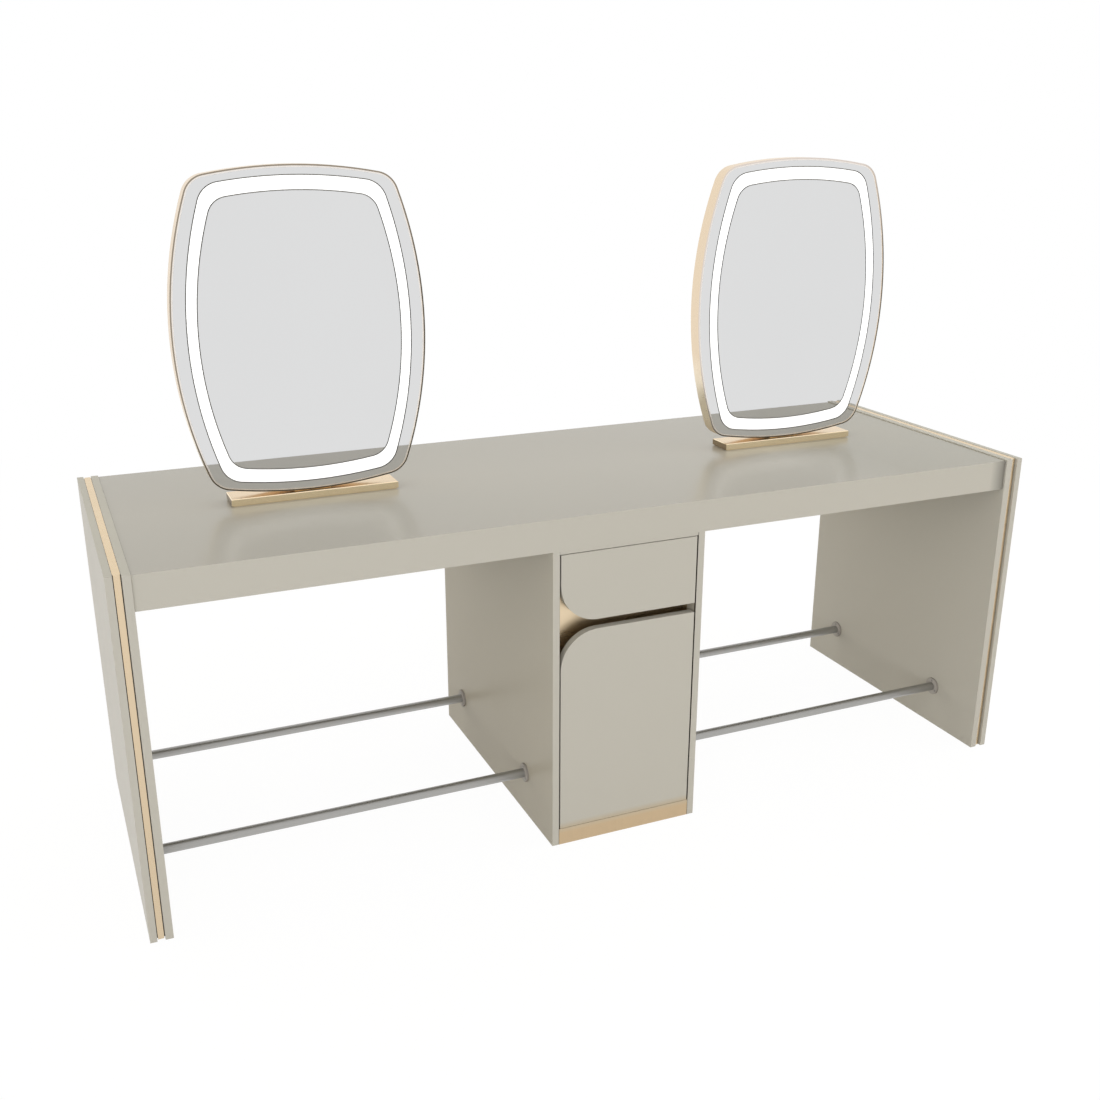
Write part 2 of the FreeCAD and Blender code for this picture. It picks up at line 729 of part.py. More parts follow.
def mirror_bolt(x):
    top = MIRROR_CENTRE_Z - MIRROR_HALF_HEIGHT + BOLT_REACH
    shank = rod_z(BOLT_RADIUS, BOARD_BOTTOM, top, x, FITTINGS_Y)
    flange = rod_z(BOLT_FLANGE, BOARD_BOTTOM - BOLT_FLANGE_THICK, BOARD_BOTTOM, x, FITTINGS_Y)
    head = hexagon(BOLT_HEAD, BOARD_BOTTOM - BOLT_HEAD_HEIGHT, BOARD_BOTTOM, x, FITTINGS_Y)
    return shank.fuse(flange).fuse(head).removeSplitter()


def mirror_bolts(xc):
    return [mirror_bolt(xc - BOLT_SPREAD), mirror_bolt(xc + BOLT_SPREAD)]


# Power supplies.

def power_supply(side):
    length, width, height = SUPPLY_SIZE
    x = side * (CABINET_HALF + SUPPLY_CLEAR + length / 2)
    y = FITTINGS_Y
    foot = BOARD_BOTTOM - height
    case = box(x - length / 2, x + length / 2, y - width / 2, y + width / 2, foot, BOARD_BOTTOM)
    deep, wide, tall = INLET_SIZE
    end = x + side * length / 2
    x0, x1 = sorted((end, end - side * deep))
    z0 = foot + (height - tall) / 2
    return case.cut(box(x0, x1, y - wide / 2, y + wide / 2, z0, z0 + tall))


# Build and save every node.

screws = rosette_screws()
bolts = mirror_bolts(LEFT_MIRROR_X) + mirror_bolts(RIGHT_MIRROR_X)

outer_slab, gold_strip, _ = end_pieces()
save("right_end_outer_panel", outer_slab)
save("right_end_gold_strip", gold_strip)
save("right_end_inner_panel", end_inner(screws))
save("left_end_outer_panel", to_left(outer_slab))
save("left_end_gold_strip", to_left(gold_strip))
save("left_end_inner_panel", cut_all(to_left(end_pieces()[2]), screws))

save("worktop_board", worktop_board(bolts))
save("front_apron", front_apron())
save("rear_apron", to_rear(front_apron()))
save("worktop_ribs", *worktop_ribs())

save("cabinet_left_side", cabinet_side(-1, screws))
save("cabinet_right_side", cabinet_side(1, screws))
save("cabinet_top", carcase_panel(EDGE_BOTTOM - CARCASE_BOARD))
save("cabinet_bottom", carcase_panel(PLINTH_HEIGHT))
save("cabinet_partition", cabinet_partition())
save("drawer_shelves", drawer_shelf(), to_rear(drawer_shelf()))
save("front_finger_channel", finger_channel())
save("rear_finger_channel", to_rear(finger_channel()))
save("plinths", plinth(), to_rear(plinth()))

front_line, rear_line = rail_lines()
save("front_footrails", footrail(front_line, -1), footrail(front_line, 1))
save("rear_footrails", footrail(rear_line, -1), footrail(rear_line, 1))
save("rail_rosettes", *[rosette(x, out, y) for x, out, y in rail_ends()])
save("rosette_screws", *screws)

mirrors = {"left": LEFT_MIRROR_X, "right": RIGHT_MIRROR_X}
for name, xc in mirrors.items():
    save(name + "_mirror_frame", mirror_frame(xc, bolts))
    save(name + "_mirror_core", mirror_core(xc, bolts))
    save(name + "_centre_mirrors", *centre_mirrors(xc))
    save(name + "_border_mirrors", *border_mirrors(xc))
    save(name + "_light_rings", *light_rings(xc))
both = list(mirrors.values())
save("light_tapes", *[tape for xc in both for tape in light_tapes(xc)])
save("mirror_gaskets", *[gasket for xc in both for gasket in edge_gaskets(xc)])
save("mirror_base_bars", *[base_bar(xc, bolts) for xc in both])
save("mirror_saddles", *[saddle(xc, bolts) for xc in both])
save("mirror_bolts", *bolts)
save("power_supplies", power_supply(-1), power_supply(1))

channels = both_ends(runner_channel())
glides = [copy for glide in runner_glides() for copy in both_ends(glide)]
save("runner_channels", *channels, *[to_rear(piece) for piece in channels])
save("runner_glides", *glides, *[to_rear(piece) for piece in glides])
fixed_leaves = [fixed_leaf(level) for level in HINGE_LEVELS]
pins = [hinge_pin(level) for level in HINGE_LEVELS]
save("hinge_fixed_leaves", *fixed_leaves, *[to_rear(piece) for piece in fixed_leaves])
save("hinge_pins", *pins, *[to_rear(piece) for piece in pins])
save("door_catches", door_catch(), to_rear(door_catch()))

moving = {
    "drawer_front": [curved_front(DRAWER_FOOT, DRAWER_TOP, False)],
    "drawer_sides": list(drawer_sides()),
    "drawer_back": [drawer_back()],
    "drawer_bottom": [drawer_bottom()],
    "drawer_slides": both_ends(runner_slide()),
    "door_leaf": [curved_front(DOOR_FOOT, DOOR_TOP, True)],
    "door_hinge_leaves": [moving_leaf(level) for level in HINGE_LEVELS],
    "door_strike": [door_strike()],
}
for name, pieces in moving.items():
    save("front_" + name, *pieces)
    save("rear_" + name, *[to_rear(piece) for piece in pieces])
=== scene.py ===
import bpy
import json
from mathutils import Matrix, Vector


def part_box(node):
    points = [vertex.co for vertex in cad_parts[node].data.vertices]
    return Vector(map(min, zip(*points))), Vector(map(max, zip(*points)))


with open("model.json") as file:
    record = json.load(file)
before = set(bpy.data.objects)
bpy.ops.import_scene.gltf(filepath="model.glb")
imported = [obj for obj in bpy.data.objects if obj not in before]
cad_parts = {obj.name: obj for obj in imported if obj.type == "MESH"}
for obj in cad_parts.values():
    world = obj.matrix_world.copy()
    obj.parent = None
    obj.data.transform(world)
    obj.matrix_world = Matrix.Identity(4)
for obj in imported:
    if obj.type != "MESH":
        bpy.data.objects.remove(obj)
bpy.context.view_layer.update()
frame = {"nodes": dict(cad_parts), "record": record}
import json
import math

import bpy
from mathutils import Vector

scene = bpy.context.scene
nodes = frame["nodes"]

# Places on the object at rest, in metres, taken from the frame.
STRIP_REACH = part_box("left_end_gold_strip")[1].y
STRIP_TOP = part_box("left_end_gold_strip")[1].z
CABINET_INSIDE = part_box("cabinet_right_side")[0].x
CABINET_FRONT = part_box("cabinet_right_side")[1].y
PLINTH_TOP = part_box("plinths")[1].z
APRON_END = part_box("front_apron")[1].x

# Heights at which a painted light or shade changes, in metres at rest. A pair is where its share is 0 and
# where it is 1.
PLINTH_FADE = (PLINTH_TOP - 0.012, PLINTH_TOP)
DOOR_FOOT = (0.041, 0.056)
WALL_SHADE = (0.0, 0.45)
CHANNEL_RISE = (0.475, 0.515)
FLANK_START = (0.81, 0.86)
FLANK_END = (1.02, 0.92)
GROOVE_TOP = STRIP_TOP - 0.0004

# Places along X or Y at which a painted light or shade changes, in metres at rest.
APRON_SHADE = (APRON_END - 0.042, APRON_END - 0.001)
WORKTOP_SHADE = (0.54, 0.74)
CHANNEL_CORNER = (0.08, 0.125)
GROOVE_REACH = STRIP_REACH - 0.001
REVEAL_INSIDE = CABINET_INSIDE + 0.0004
REVEAL_OUTSIDE = CABINET_FRONT - 0.0065

# Half the width of the change from painted light to painted shade across a mirror's front edge, from its
# upper left to its lower right.
EDGE_TURN = 0.15

# Colours of the body, and the painted light and shade on it.
BODY = (0.515, 0.490, 0.424)
# Painted light on the end panels' top faces.
TOP_LIGHT = (0.605, 0.582, 0.490)
# Painted shade on upright side faces under the desk: higher up, and at the floor.
SIDE_SHADE = (0.513, 0.477, 0.388)
SIDE_FOOT_SHADE = (0.468, 0.430, 0.345)
# A painted reflection of the metal below, at a door's foot.
DOOR_FOOT_REFLECTION = (0.50, 0.42, 0.30)
WORKTOP = (0.488, 0.460, 0.383)
# Painted shade towards the worktop's right end.
WORKTOP_END_SHADE = (0.400, 0.376, 0.292)
# Painted shade in grooves and in the gaps beside the fronts.
GAP_SHADE = (0.05, 0.04, 0.03)

# Colours of the metals, and the painted light and shade on them.
GOLD = (0.80, 0.655, 0.435)
STRIP_GOLD = (0.76, 0.61, 0.42)
# Painted shading on the strips' top faces.
STRIP_TOP_SHADING = (0.76, 0.59, 0.365)
# The plinths' metal, darkened as painted shade under the desk, and the painted shade at its top.
PLINTH_SHADED_GOLD = (0.56, 0.42, 0.26)
PLINTH_TOP_SHADE = (0.53, 0.44, 0.31)
DEEP_GOLD = (0.80, 0.65, 0.45)
BAR_GOLD = (0.80, 0.615, 0.39)
# Painted light on the base bars' front and rear faces, and a painted highlight on their bevels.
BAR_FACE_LIGHT = (0.92, 0.77, 0.525)
GLINT = (0.98, 0.82, 0.58)
BAND_GOLD = (0.83, 0.68, 0.50)
# Painted light low on a mirror band's flanks, then the painted light and painted shade across its front
# edges.
FLANK_LIGHT = (1.0, 0.90, 0.72)
LIGHT_EDGE = (0.32, 0.27, 0.21)
PALE_EDGE = (0.74, 0.66, 0.60)
EDGE_SHADE = (0.12, 0.105, 0.08)
SILVER_DIM = (0.715, 0.718, 0.72)
SILVER_BRIGHT = (0.727, 0.73, 0.732)
# The glass's edges: partly a dark edge of its own, partly painted shade in the gaps beside them.
GLASS_EDGE = (0.05, 0.055, 0.055)

# How a noise is drawn out into streaks: the small share is on the axis that they run along.
LONG_X = (0.04, 1, 1)
LONG_Z = (1, 1, 0.04)
SHORT_Y = (1, 0.06, 1)
SHORT_Z = (1, 1, 0.06)
EVEN = (1, 1, 1)

# Nearly all of a noise lies between these two levels.
NOISE_SPAN = (0.3, 0.7)


# Materials. Each is built from the same few blocks: coordinates, noise, ramps and a Principled shader.

def tint(color, by):
    """A colour made darker or lighter, up to full strength."""
    return tuple(min(1.0, c * by) for c in color)


class Mat:
    """A material with one Principled shader and helpers that add the nodes it needs."""

    def __init__(self, name):
        self.mat = bpy.data.materials.new(name)
        self.mat.use_nodes = True
        self.tree = self.mat.node_tree
        self.shader = self.tree.nodes["Principled BSDF"]
        self.coords = self.node("ShaderNodeTexCoord").outputs["Object"]

    def node(self, kind, **inputs):
        """A new node, with some of its inputs set."""
        node = self.tree.nodes.new(kind)
        for key, value in inputs.items():
            node.inputs[key.replace("_", " ")].default_value = value
        return node

    def link(self, source, socket):
        self.tree.links.new(source, socket)

    def noise(self, scale, stretch=EVEN, detail=4.0, rough=0.55):
        """A noise in the object's own coordinates, which may be drawn out along an axis."""
        mapping = self.node("ShaderNodeMapping", Scale=stretch)
        self.link(self.coords, mapping.inputs["Vector"])
        node = self.node("ShaderNodeTexNoise", Scale=scale, Detail=detail, Roughness=rough)
        self.link(mapping.outputs["Vector"], node.inputs["Vector"])
        return node.outputs["Fac"]

    def streaks(self, stretch):
        """The long fine streaks of a brushed metal."""
        return self.noise(scale=60.0, stretch=stretch, detail=6.0, rough=0.7)

    def between(self, source, first, second, span=NOISE_SPAN):
        """Two colours and all between them, following a noise over its span."""
        node = self.node("ShaderNodeValToRGB")
        for element, position, color in zip(node.color_ramp.elements, span, (first, second)):
            element.position = position
            element.color = (*color, 1)
        self.link(source, node.inputs["Fac"])
        return node.outputs["Color"]

    def math(self, kind, first, second=0.0):
        """One sum; each side is a socket or a plain number."""
        node = self.node("ShaderNodeMath")
        node.operation = kind
        for socket, value in zip(node.inputs, (first, second)):
            if isinstance(value, (int, float)):
                socket.default_value = value
            else:
                self.link(value, socket)
        return node.outputs[0]

    def remap(self, source, low, high, to_low=0.0, to_high=1.0):
        """A value's range turned into another range, and held at its ends."""
        node = self.node("ShaderNodeMapRange")
        for key, value in (("From Min", low), ("From Max", high), ("To Min", to_low), ("To Max", to_high)):
            node.inputs[key].default_value = value
        self.link(source, node.inputs["Value"])
        return node.outputs["Result"]

    def blend(self, share, first, second):
        """Two colours mixed by a share; each is a socket or a plain colour."""
        node = self.tree.nodes.new("ShaderNodeMix")
        node.data_type = "RGBA"
        node.clamp_factor = True
        self.link(share, node.inputs[0])
        for socket, value in ((node.inputs[6], first), (node.inputs[7], second)):
            if isinstance(value, tuple):
                socket.default_value = (*value, 1)
            else:
                self.link(value, socket)
        return node.outputs[2]

    def place(self, axis):
        """The place along one axis, in metres."""
        split = self.node("ShaderNodeSeparateXYZ")
        self.link(self.coords, split.inputs[0])
        return split.outputs[axis]

    def away(self, axis):
        """How far a place is from the object's middle along one axis, in metres."""
        return self.math("ABSOLUTE", self.place(axis))

    def height(self, zero, one):
        """0 at one level of the rest pose and 1 at the other, with the same beyond each."""
        return self.remap(self.place("Z"), zero, one)

    def normal(self, axis):
        """The surface normal's share along one axis, from -1 to 1."""
        split = self.node("ShaderNodeSeparateXYZ")
        self.link(self.node("ShaderNodeNewGeometry").outputs["Normal"], split.inputs[0])
        return split.outputs[axis]

    def square_to(self, axis):
        """How squarely the surface looks along one axis, either way, from 0 to 1."""
        return self.math("ABSOLUTE", self.normal(axis))

    def facing(self):
        """1 where the surface looks to the front or to the rear, 0 where it looks along X or Z."""
        return self.remap(self.square_to("Y"), 0.5, 0.9)

    def upward(self):
        """1 where the surface looks up."""
        return self.math("GREATER_THAN", self.normal("Z"), 0.5)

    def set(self, **values):
        """Plain values for the shader's inputs."""
        for key, value in values.items():
            self.shader.inputs[key.replace("_", " ")].default_value = value

    def feed(self, key, source):
        """One of the shader's inputs, taken from a socket."""
        self.link(source, self.shader.inputs[key])

    def sheen(self, source, low, high):
        """Roughness between two levels, following a noise."""
        self.feed("Roughness", self.remap(source, *NOISE_SPAN, low, high))

    def bump(self, source, strength, distance):
        """Relief that follows a noise."""
        node = self.node("ShaderNodeBump", Strength=strength, Distance=distance)
        self.link(source, node.inputs["Height"])
        self.feed("Normal", node.outputs["Normal"])


def lacquer(name, color, rough=0.36, gloss=0.15, foot=None, wall=None, crown=None, end=None, reveal=None):
    """Sprayed satin lacquer: a faint orange peel, and slow changes of tone and sheen.

    foot: a painted reflection of the metal below, at a door's foot. wall: painted shading on an upright
    board's side faces, at the floor and under the desk. crown: painted light on what faces up. end: two
    places along X and the
    painted shade beyond them. reveal: painted shade beside the fronts, on the inside of the cabinet's sides.
    """
    m = Mat(name)
    tone = m.between(m.noise(scale=1.4), tint(color, 0.995), tint(color, 1.005))
    # A painted reflection of the metal below, at a door's foot.
    if foot:
        tone = m.blend(m.height(*DOOR_FOOT), foot, tone)
    # Painted shading on the side faces, one tone at the floor and one higher up.
    if wall:
        low, high = wall
        tone = m.blend(m.facing(), m.blend(m.height(*WALL_SHADE), low, high), tone)
    # Painted light on what faces up.
    if crown:
        tone = m.blend(m.upward(), tone, crown)
    # Painted shade beyond two places along X.
    if end:
        (start, stop), beyond = end
        tone = m.blend(m.remap(m.place("X"), start, stop), tone, beyond)
    # Painted shade in the gap beside the fronts.
    if reveal:
        inside = m.math("LESS_THAN", m.away("X"), REVEAL_INSIDE)
        outside = m.math("GREATER_THAN", m.away("Y"), REVEAL_OUTSIDE)
        tone = m.blend(m.math("MULTIPLY", inside, outside), tone, reveal)
    m.feed("Base Color", tone)
    m.sheen(m.noise(scale=6.0), rough - 0.01, rough + 0.015)
    m.bump(m.noise(scale=900.0, detail=2.0), strength=0.05, distance=0.0004)
    m.set(IOR=1.45, Specular_IOR_Level=gloss)
    return m.mat


def streaked(name, color, rough, stretch, strength, depth, metallic=1.0):
    """Brushed metal: long fine streaks in tone, sheen and relief. Gives the material and its tone."""
    m = Mat(name)
    streaks = m.streaks(stretch)
    tone = m.between(streaks, tint(color, 1 - depth), tint(color, 1 + depth))
    m.feed("Base Color", tone)
    m.sheen(streaks, rough - 0.06, rough + 0.08)
    m.bump(streaks, strength, distance=0.0003)
    m.set(Metallic=metallic)
    return m, tone


def brushed(name, color, rough, stretch, metallic=1.0):
    """A brushed metal in one colour."""
    m, _ = streaked(name, color, rough, stretch, strength=0.12, depth=0.06, metallic=metallic)
    return m.mat


def end_strip(name, color, foot, crown):
    """The strip of the end panels: bright faces, painted shade in the grooves beside them, darker towards
    the bottom as painted shade, and painted shading on the top faces.
    """
    m, tone = streaked(name, color, rough=0.26, stretch=LONG_Z, strength=0.05, depth=0.02)
    # Painted shade in the grooves: the strip's side walls, and its faces set back from the front and below
    # the top.
    wall = m.math("GREATER_THAN", m.square_to("X"), 0.5)
    behind = m.math("LESS_THAN", m.away("Y"), GROOVE_REACH)
    below = m.math("LESS_THAN", m.place("Z"), GROOVE_TOP)
    groove = m.math("MAXIMUM", wall, m.math("MULTIPLY", behind, below))
    # Painted shade towards the bottom, and painted shading on the top faces.
    tone = m.blend(m.height(0.0, STRIP_TOP), foot, tone)
    tone = m.blend(m.upward(), tone, crown)
    m.feed("Base Color", m.blend(groove, tone, GAP_SHADE))
    # The painted shade in the grooves is not metallic, so it reflects little.
    m.feed("Metallic", m.math("SUBTRACT", 1.0, groove))
    return m.mat


def channel(name, color, painted_shade):
    """The metal behind the finger slot: painted light in the open corner, and painted shade below and along
    the slot.
    """
    m, tone = streaked(name, color, rough=0.3, stretch=LONG_X, strength=0.03, depth=0.015)
    # Painted light where the corner is open and above the low part; painted shade below and along the slot.
    side = m.math("SIGN", m.place("Y"))
    along = m.math("MULTIPLY", m.place("X"), side)
    corner = m.remap(along, *CHANNEL_CORNER)
    bright = m.math("MULTIPLY", corner, m.height(*CHANNEL_RISE))
    m.feed("Base Color", m.blend(bright, painted_shade, tone))
    return m.mat


def mirror_band(name, piece, light_edge):
    """A mirror's frame: a bright band with painted light low on its flanks, and front edges in painted light
    at the upper left and painted shade at the lower right.
    """
    low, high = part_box(piece)
    centre = (low + high) / 2
    m, tone = streaked(name, BAND_GOLD, rough=0.3, stretch=EVEN, strength=0.002, depth=0.015)
    # Painted light at the upper left of the front edges, fading to painted shade at the lower right.
    aside = m.math("SUBTRACT", m.place("X"), centre.x)
    above = m.math("SUBTRACT", m.place("Z"), centre.z)
    lean = m.math("SUBTRACT", aside, above)
    edge = m.blend(m.remap(lean, -EDGE_TURN, EDGE_TURN), light_edge, EDGE_SHADE)
    # Painted light low on the flanks.
    flank = m.math("MULTIPLY", m.height(*FLANK_START), m.height(*FLANK_END))
    tone = m.blend(flank, tone, FLANK_LIGHT)
    m.feed("Base Color", m.blend(m.facing(), tone, edge))
    return m.mat


def base_bar(name, color, side, glint):
    """The mirrors' bases: polished metal with a painted highlight on the bevels, painted light on the front
    and rear faces, and painted shade on the ends.
    """
    m, tone = streaked(name, color, rough=0.18, stretch=LONG_X, strength=0.04, depth=0.03)
    # A painted highlight on the bevels.
    up = m.normal("Z")
    bevel = m.math("MULTIPLY", m.math("GREATER_THAN", up, 0.3), m.math("LESS_THAN", up, 0.9))
    # Painted shade on the ends.
    end = m.math("GREATER_THAN", m.square_to("X"), 0.6)
    tone = m.blend(end, tone, tint(color, 0.45))
    # Painted light on the front and rear faces.
    tone = m.blend(m.facing(), tone, side)
    m.feed("Base Color", m.blend(bevel, tone, glint))
    return m.mat


def plinth_metal(name, color, dim):
    """A metal darkened as painted shade under the desk, fading to a duller painted shade at its top, under
    the door.
    """
    m = Mat(name)
    streaks = m.streaks(LONG_Z)
    tone = m.between(streaks, tint(color, 0.96), tint(color, 1.04))
    # Painted shade at the top, under the door.
    m.feed("Base Color", m.blend(m.height(*PLINTH_FADE), tone, dim))
    m.sheen(streaks, 0.32, 0.44)
    m.bump(streaks, strength=0.1, distance=0.0003)
    m.set(Metallic=0.7)
    return m.mat


def rosette(name, color, rim):
    """A flange painted like the wall, with a darker rim."""
    m = Mat(name)
    tone = m.between(m.noise(scale=30.0), tint(color, 0.98), tint(color, 1.02))
    m.feed("Base Color", m.blend(m.remap(m.square_to("X"), 0.8, 0.95), rim, tone))
    m.sheen(m.noise(scale=90.0), 0.55, 0.65)
    m.bump(m.noise(scale=900.0, detail=2.0), strength=0.05, distance=0.0003)
    m.set(Specular_IOR_Level=0.1)
    return m.mat


def plastic(name, color, rough):
    """Matt board or moulded plastic, with a fine grain."""
    m = Mat(name)
    grain = m.noise(scale=30.0)
    m.feed("Base Color", m.between(grain, tint(color, 0.96), tint(color, 1.03), span=(0.35, 0.65)))
    m.sheen(m.noise(scale=140.0), rough - 0.05, rough + 0.06)
    m.bump(m.noise(scale=1400.0, detail=2.0), strength=0.1, distance=0.0003)
    return m.mat


def pearl(name, color):
    """The glossy bead round a mirror, which takes on what it faces as the glass does."""
    m = Mat(name)
    m.feed("Base Color", m.between(m.noise(scale=40.0), tint(color, 0.97), color))
    m.sheen(m.noise(scale=120.0), 0.14, 0.2)
    m.set(Metallic=0.9)
    return m.mat


def mirror(name):
    """Silvered glass: a bright smooth metal with a trace of haze, and dark edges, partly the glass's own
    ground edge and partly painted shade in the gaps beside it.
    """
    m = Mat(name)
    silver = m.between(m.noise(scale=1.5), SILVER_DIM, SILVER_BRIGHT)
    m.feed("Base Color", m.blend(m.facing(), GLASS_EDGE, silver))
    m.sheen(m.noise(scale=5.0), 0.012, 0.03)
    m.set(Metallic=1.0)
    return m.mat


def opal(name, color, glow, edge=None):
    """Lit opal acrylic. Where an edge colour is given, only its open face glows, and its side faces take
    that colour, partly a dark edge and partly painted shade in the gaps beside them.
    """
    m = Mat(name)
    base = m.between(m.noise(scale=12.0), tint(color, 0.985), color)
    light = m.between(m.noise(scale=7.0), tint(color, 0.985), color)
    if edge:
        base = m.blend(m.facing(), edge, base)
        light = m.blend(m.facing(), (0, 0, 0), light)
    m.feed("Base Color", base)
    m.sheen(m.noise(scale=200.0), 0.28, 0.36)
    m.feed("Emission Color", light)
    m.set(Emission_Strength=glow)
    return m.mat


# The material of each slot of the record.
materials = {
    "lacquer": lacquer("warm_grey_lacquer", BODY),
    "gold_metal": brushed("champagne_metal", GOLD, rough=0.26, stretch=LONG_Z),
    "carcase_board": plastic("carcase_melamine", (0.46, 0.43, 0.37), rough=0.55),
    "box_board": plastic("box_melamine", (0.60, 0.57, 0.50), rough=0.5),
    "rail_steel": brushed("brushed_rail", (0.42, 0.415, 0.40), rough=0.46, stretch=LONG_X),
    "zinc_steel": brushed("zinc_plate", (0.56, 0.57, 0.58), rough=0.35, stretch=SHORT_Y),
    "hinge_steel": brushed("bronzed_hinge", (0.06, 0.055, 0.045), rough=0.4, stretch=SHORT_Z),
    "mirror_glass": mirror("silvered_glass"),
    # The ring's side faces: partly a dark edge, partly painted shade in the gaps beside them.
    "light_opal": opal("opal_light", (0.98, 0.98, 0.97), glow=0.35, edge=(0.05, 0.05, 0.05)),
    "light_tape": opal("light_tape", (0.96, 0.93, 0.82), glow=0.8),
    "gasket_rubber": pearl("pearl_gasket", (0.86, 0.81, 0.76)),
    "painted_steel": rosette("painted_rosette", (0.44, 0.41, 0.37), rim=(0.34, 0.31, 0.275)),
    "glide_plastic": plastic("acetal_glide", (0.75, 0.75, 0.72), rough=0.4),
    "catch_plastic": plastic("moulded_plastic", (0.62, 0.61, 0.58), rough=0.4),
}

# Pieces that don't look quite like the rest of their slot, nearly all for painted light or shade.
# Painted shade on the cabinet sides under the desk, and in the gaps beside the fronts.
side_lacquer = lacquer("side_lacquer", BODY, wall=(SIDE_FOOT_SHADE, SIDE_SHADE), reveal=GAP_SHADE)
# Painted light on the end panels' top faces, and on the right ones' side faces.
left_lacquer = lacquer("left_end_lacquer", BODY, crown=TOP_LIGHT)
right_lacquer = lacquer("right_end_lacquer", BODY, wall=(tint(BODY, 1.05), tint(BODY, 1.09)), crown=TOP_LIGHT)
# Painted shade at the apron's right end, a painted reflection at the doors' foot, and painted shade towards
# the worktop's right end.
apron_lacquer = lacquer("apron_lacquer", BODY, end=(APRON_SHADE, tint(BODY, 0.45)))
door_lacquer = lacquer("door_lacquer", BODY, foot=DOOR_FOOT_REFLECTION)
top_lacquer = lacquer("worktop_lacquer", WORKTOP, rough=0.22, gloss=0.45, end=(WORKTOP_SHADE, WORKTOP_END_SHADE))
strip_metal = end_strip("end_strip", STRIP_GOLD, foot=tint(STRIP_GOLD, 0.88), crown=STRIP_TOP_SHADING)
channel_metal = channel("finger_channel", DEEP_GOLD, painted_shade=tint(DEEP_GOLD, 0.75))
own = {
    "left_end_outer_panel": left_lacquer,
    "left_end_inner_panel": left_lacquer,
    "right_end_outer_panel": right_lacquer,
    "right_end_inner_panel": right_lacquer,
    "worktop_board": top_lacquer,
    "front_apron": apron_lacquer,
    "cabinet_left_side": side_lacquer,
    "cabinet_right_side": side_lacquer,
    "front_door_leaf": door_lacquer,
    "rear_door_leaf": door_lacquer,
    "left_end_gold_strip": strip_metal,
    "right_end_gold_strip": strip_metal,
    "front_finger_channel": channel_metal,
    "rear_finger_channel": channel_metal,
    "left_mirror_frame": mirror_band("left_band", "left_mirror_frame", LIGHT_EDGE),
    "right_mirror_frame": mirror_band("right_band", "right_mirror_frame", PALE_EDGE),
    "mirror_base_bars": base_bar("base_bar", BAR_GOLD, side=BAR_FACE_LIGHT, glint=GLINT),
    "plinths": plinth_metal("plinth_metal", PLINTH_SHADED_GOLD, dim=PLINTH_TOP_SHADE),
    "rosette_screws": brushed("painted_screw", (0.27, 0.255, 0.23), rough=0.5, stretch=EVEN, metallic=0.6),
}


# Dressing the pieces.

BOARD_SLOTS = ("lacquer", "carcase_board", "box_board")
EDGE_WIDTH = 0.0006
SHARP_ANGLE = math.radians(40)


def soften(node):
    """Small rounded edges on a board, so that they catch the light."""
    bevel = node.modifiers.new("edge", "BEVEL")
    bevel.width = EDGE_WIDTH
    bevel.segments = 2
    bevel.limit_method = "ANGLE"
    bevel.angle_limit = SHARP_ANGLE
    bevel.harden_normals = False


for part in frame["record"]["subparts"]:
    node = nodes[part["node"]]
    slot = part["material_slot"]
    node.data.materials.clear()
    node.data.materials.append(own.get(part["node"], materials[slot]))
    if slot in BOARD_SLOTS:
        soften(node)


# Floor, light and camera.

FLOOR_SIZE = 60
FLOOR_DIM = (0.74, 0.72, 0.68)
FLOOR_BRIGHT = (0.76, 0.74, 0.70)
FLOOR_GLOW = 0.5
FLOOR_NEAR = 1.5
FLOOR_FAR = 4.0
WHITE_NEAR = 0.92
WHITE_FAR = 1.0
WORLD_TINT = (1, 0.97, 0.93)
WORLD_AT_HORIZON = 1.75
WORLD_OVERHEAD = 0.18
WHITE = (1, 1, 1)


def seen_by_camera(tree):
    """1 for what the camera sees, also by way of a mirror or a glass."""
    path = tree.nodes.new("ShaderNodeLightPath").outputs
    seen = path["Is Camera Ray"]
    for name in ("Is Glossy Ray", "Is Transmission Ray"):
        either = tree.nodes.new("ShaderNodeMath")
        either.operation = "MAXIMUM"
        tree.links.new(seen, either.inputs[0])
        tree.links.new(path[name], either.inputs[1])
        seen = either.outputs[0]
    return seen


def stage_floor():
    """A pale floor that takes the shadow, and turns white for the camera away from the object."""
    bpy.ops.mesh.primitive_plane_add(size=FLOOR_SIZE)
    floor = bpy.context.object
    floor.name = "floor"
    m = Mat("pale_floor")
    m.feed("Base Color", m.between(m.noise(scale=0.7), FLOOR_DIM, FLOOR_BRIGHT))
    m.sheen(m.noise(scale=2.0), 0.7, 0.8)
    seen = seen_by_camera(m.tree)
    m.set(Emission_Color=(*WHITE, 1))
    m.feed("Emission Strength", m.math("MULTIPLY", seen, FLOOR_GLOW))
    span = m.node("ShaderNodeVectorMath")
    span.operation = "LENGTH"
    m.link(m.coords, span.inputs[0])
    whiteness = m.remap(span.outputs["Value"], FLOOR_NEAR, FLOOR_FAR, WHITE_NEAR, WHITE_FAR)
    white = m.node("ShaderNodeEmission", Color=(*WHITE, 1), Strength=1.0)
    mix = m.node("ShaderNodeMixShader")
    m.link(m.math("MULTIPLY", seen, whiteness), mix.inputs[0])
    m.link(m.shader.outputs[0], mix.inputs[1])
    m.link(white.outputs[0], mix.inputs[2])
    m.link(mix.outputs[0], m.tree.nodes["Material Output"].inputs["Surface"])
    floor.data.materials.append(m.mat)


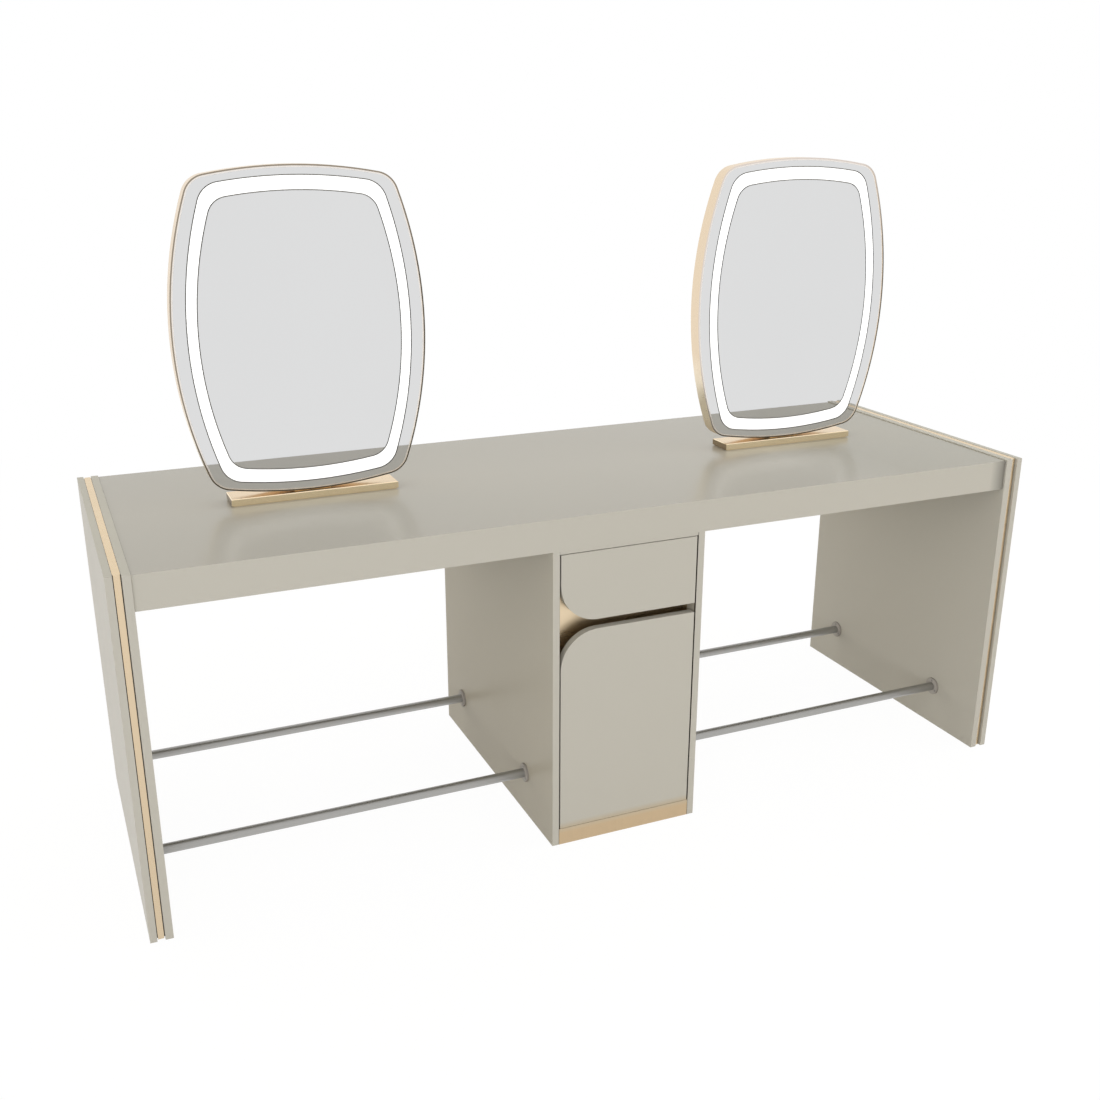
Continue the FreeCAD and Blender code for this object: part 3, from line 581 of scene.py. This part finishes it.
def stage_world():
    """A room that is bright low down and dim overhead, and plain white for the camera."""
    world = bpy.data.worlds.new("studio")
    world.use_nodes = True
    scene.world = world
    tree = world.node_tree
    light = tree.nodes["Background"]
    light.inputs["Color"].default_value = (*WORLD_TINT, 1)
    split = tree.nodes.new("ShaderNodeSeparateXYZ")
    tree.links.new(tree.nodes.new("ShaderNodeTexCoord").outputs["Generated"], split.inputs[0])
    fade = tree.nodes.new("ShaderNodeMapRange")
    fade.inputs["To Min"].default_value = WORLD_AT_HORIZON
    fade.inputs["To Max"].default_value = WORLD_OVERHEAD
    tree.links.new(split.outputs["Z"], fade.inputs["Value"])
    tree.links.new(fade.outputs["Result"], light.inputs["Strength"])
    white = tree.nodes.new("ShaderNodeBackground")
    white.inputs["Color"].default_value = (*WHITE, 1)
    mix = tree.nodes.new("ShaderNodeMixShader")
    tree.links.new(seen_by_camera(tree), mix.inputs[0])
    tree.links.new(light.outputs[0], mix.inputs[1])
    tree.links.new(white.outputs[0], mix.inputs[2])
    tree.links.new(mix.outputs[0], tree.nodes["World Output"].inputs["Surface"])


def area(name, place, aim, size, power, color=WHITE):
    """A soft lamp that lights the object without showing in its mirrors and metals."""
    data = bpy.data.lights.new(name, "AREA")
    data.shape = "RECTANGLE"
    data.size, data.size_y = size
    data.energy = power
    data.color = color
    lamp = bpy.data.objects.new(name, data)
    lamp.location = place
    lamp.rotation_mode = "QUATERNION"
    lamp.rotation_quaternion = (Vector(aim) - Vector(place)).to_track_quat("-Z", "Y")
    lamp.visible_glossy = False
    scene.collection.objects.link(lamp)


# The camera, solved from the desk's straight edges in the photograph. It looks to the right of +Y by AZIMUTH
# and down by ELEVATION. FOCAL_PIXELS is its focal length in pixels of the photograph, which is square.
PHOTO_PIXELS = 1100
FOCAL_PIXELS = 1232.94
SENSOR_WIDTH = 36.0
SHIFT_X = 0.0036
SHIFT_Y = 0.0088
CAMERA_PLACE = (-1.15527, -2.57984, 1.54877)
AZIMUTH = math.radians(23.318)
ELEVATION = math.radians(19.486)


def stage_camera():
    """The camera of the photograph."""
    data = bpy.data.cameras.new("camera")
    data.sensor_width = SENSOR_WIDTH
    data.lens = SENSOR_WIDTH * FOCAL_PIXELS / PHOTO_PIXELS
    data.shift_x = SHIFT_X
    data.shift_y = SHIFT_Y
    data.clip_start = 0.05
    data.clip_end = 200
    camera = bpy.data.objects.new("camera", data)
    camera.location = CAMERA_PLACE
    level = math.cos(ELEVATION)
    ahead = Vector((math.sin(AZIMUTH) * level, math.cos(AZIMUTH) * level, -math.sin(ELEVATION)))
    camera.rotation_mode = "QUATERNION"
    camera.rotation_quaternion = ahead.to_track_quat("-Z", "Y")
    scene.collection.objects.link(camera)
    scene.camera = camera


LOW_AIM = (0, 0, 0.6)
HIGH_AIM = (0, 0, 0.7)
COOL = (0.87, 1.0, 1.21)
SOFT_COOL = (0.93, 1.0, 1.10)

stage_floor()
stage_world()
area("key", (-1.95, -4.2, 1.5), LOW_AIM, size=(3.0, 2.2), power=30, color=COOL)
area("fill", (4.2, -1.6, 2.0), LOW_AIM, size=(3.0, 2.0), power=35, color=SOFT_COOL)
area("top", (0.0, 0.6, 4.2), HIGH_AIM, size=(3.5, 2.5), power=6)
stage_camera()
scene.view_settings.view_transform = "Standard"
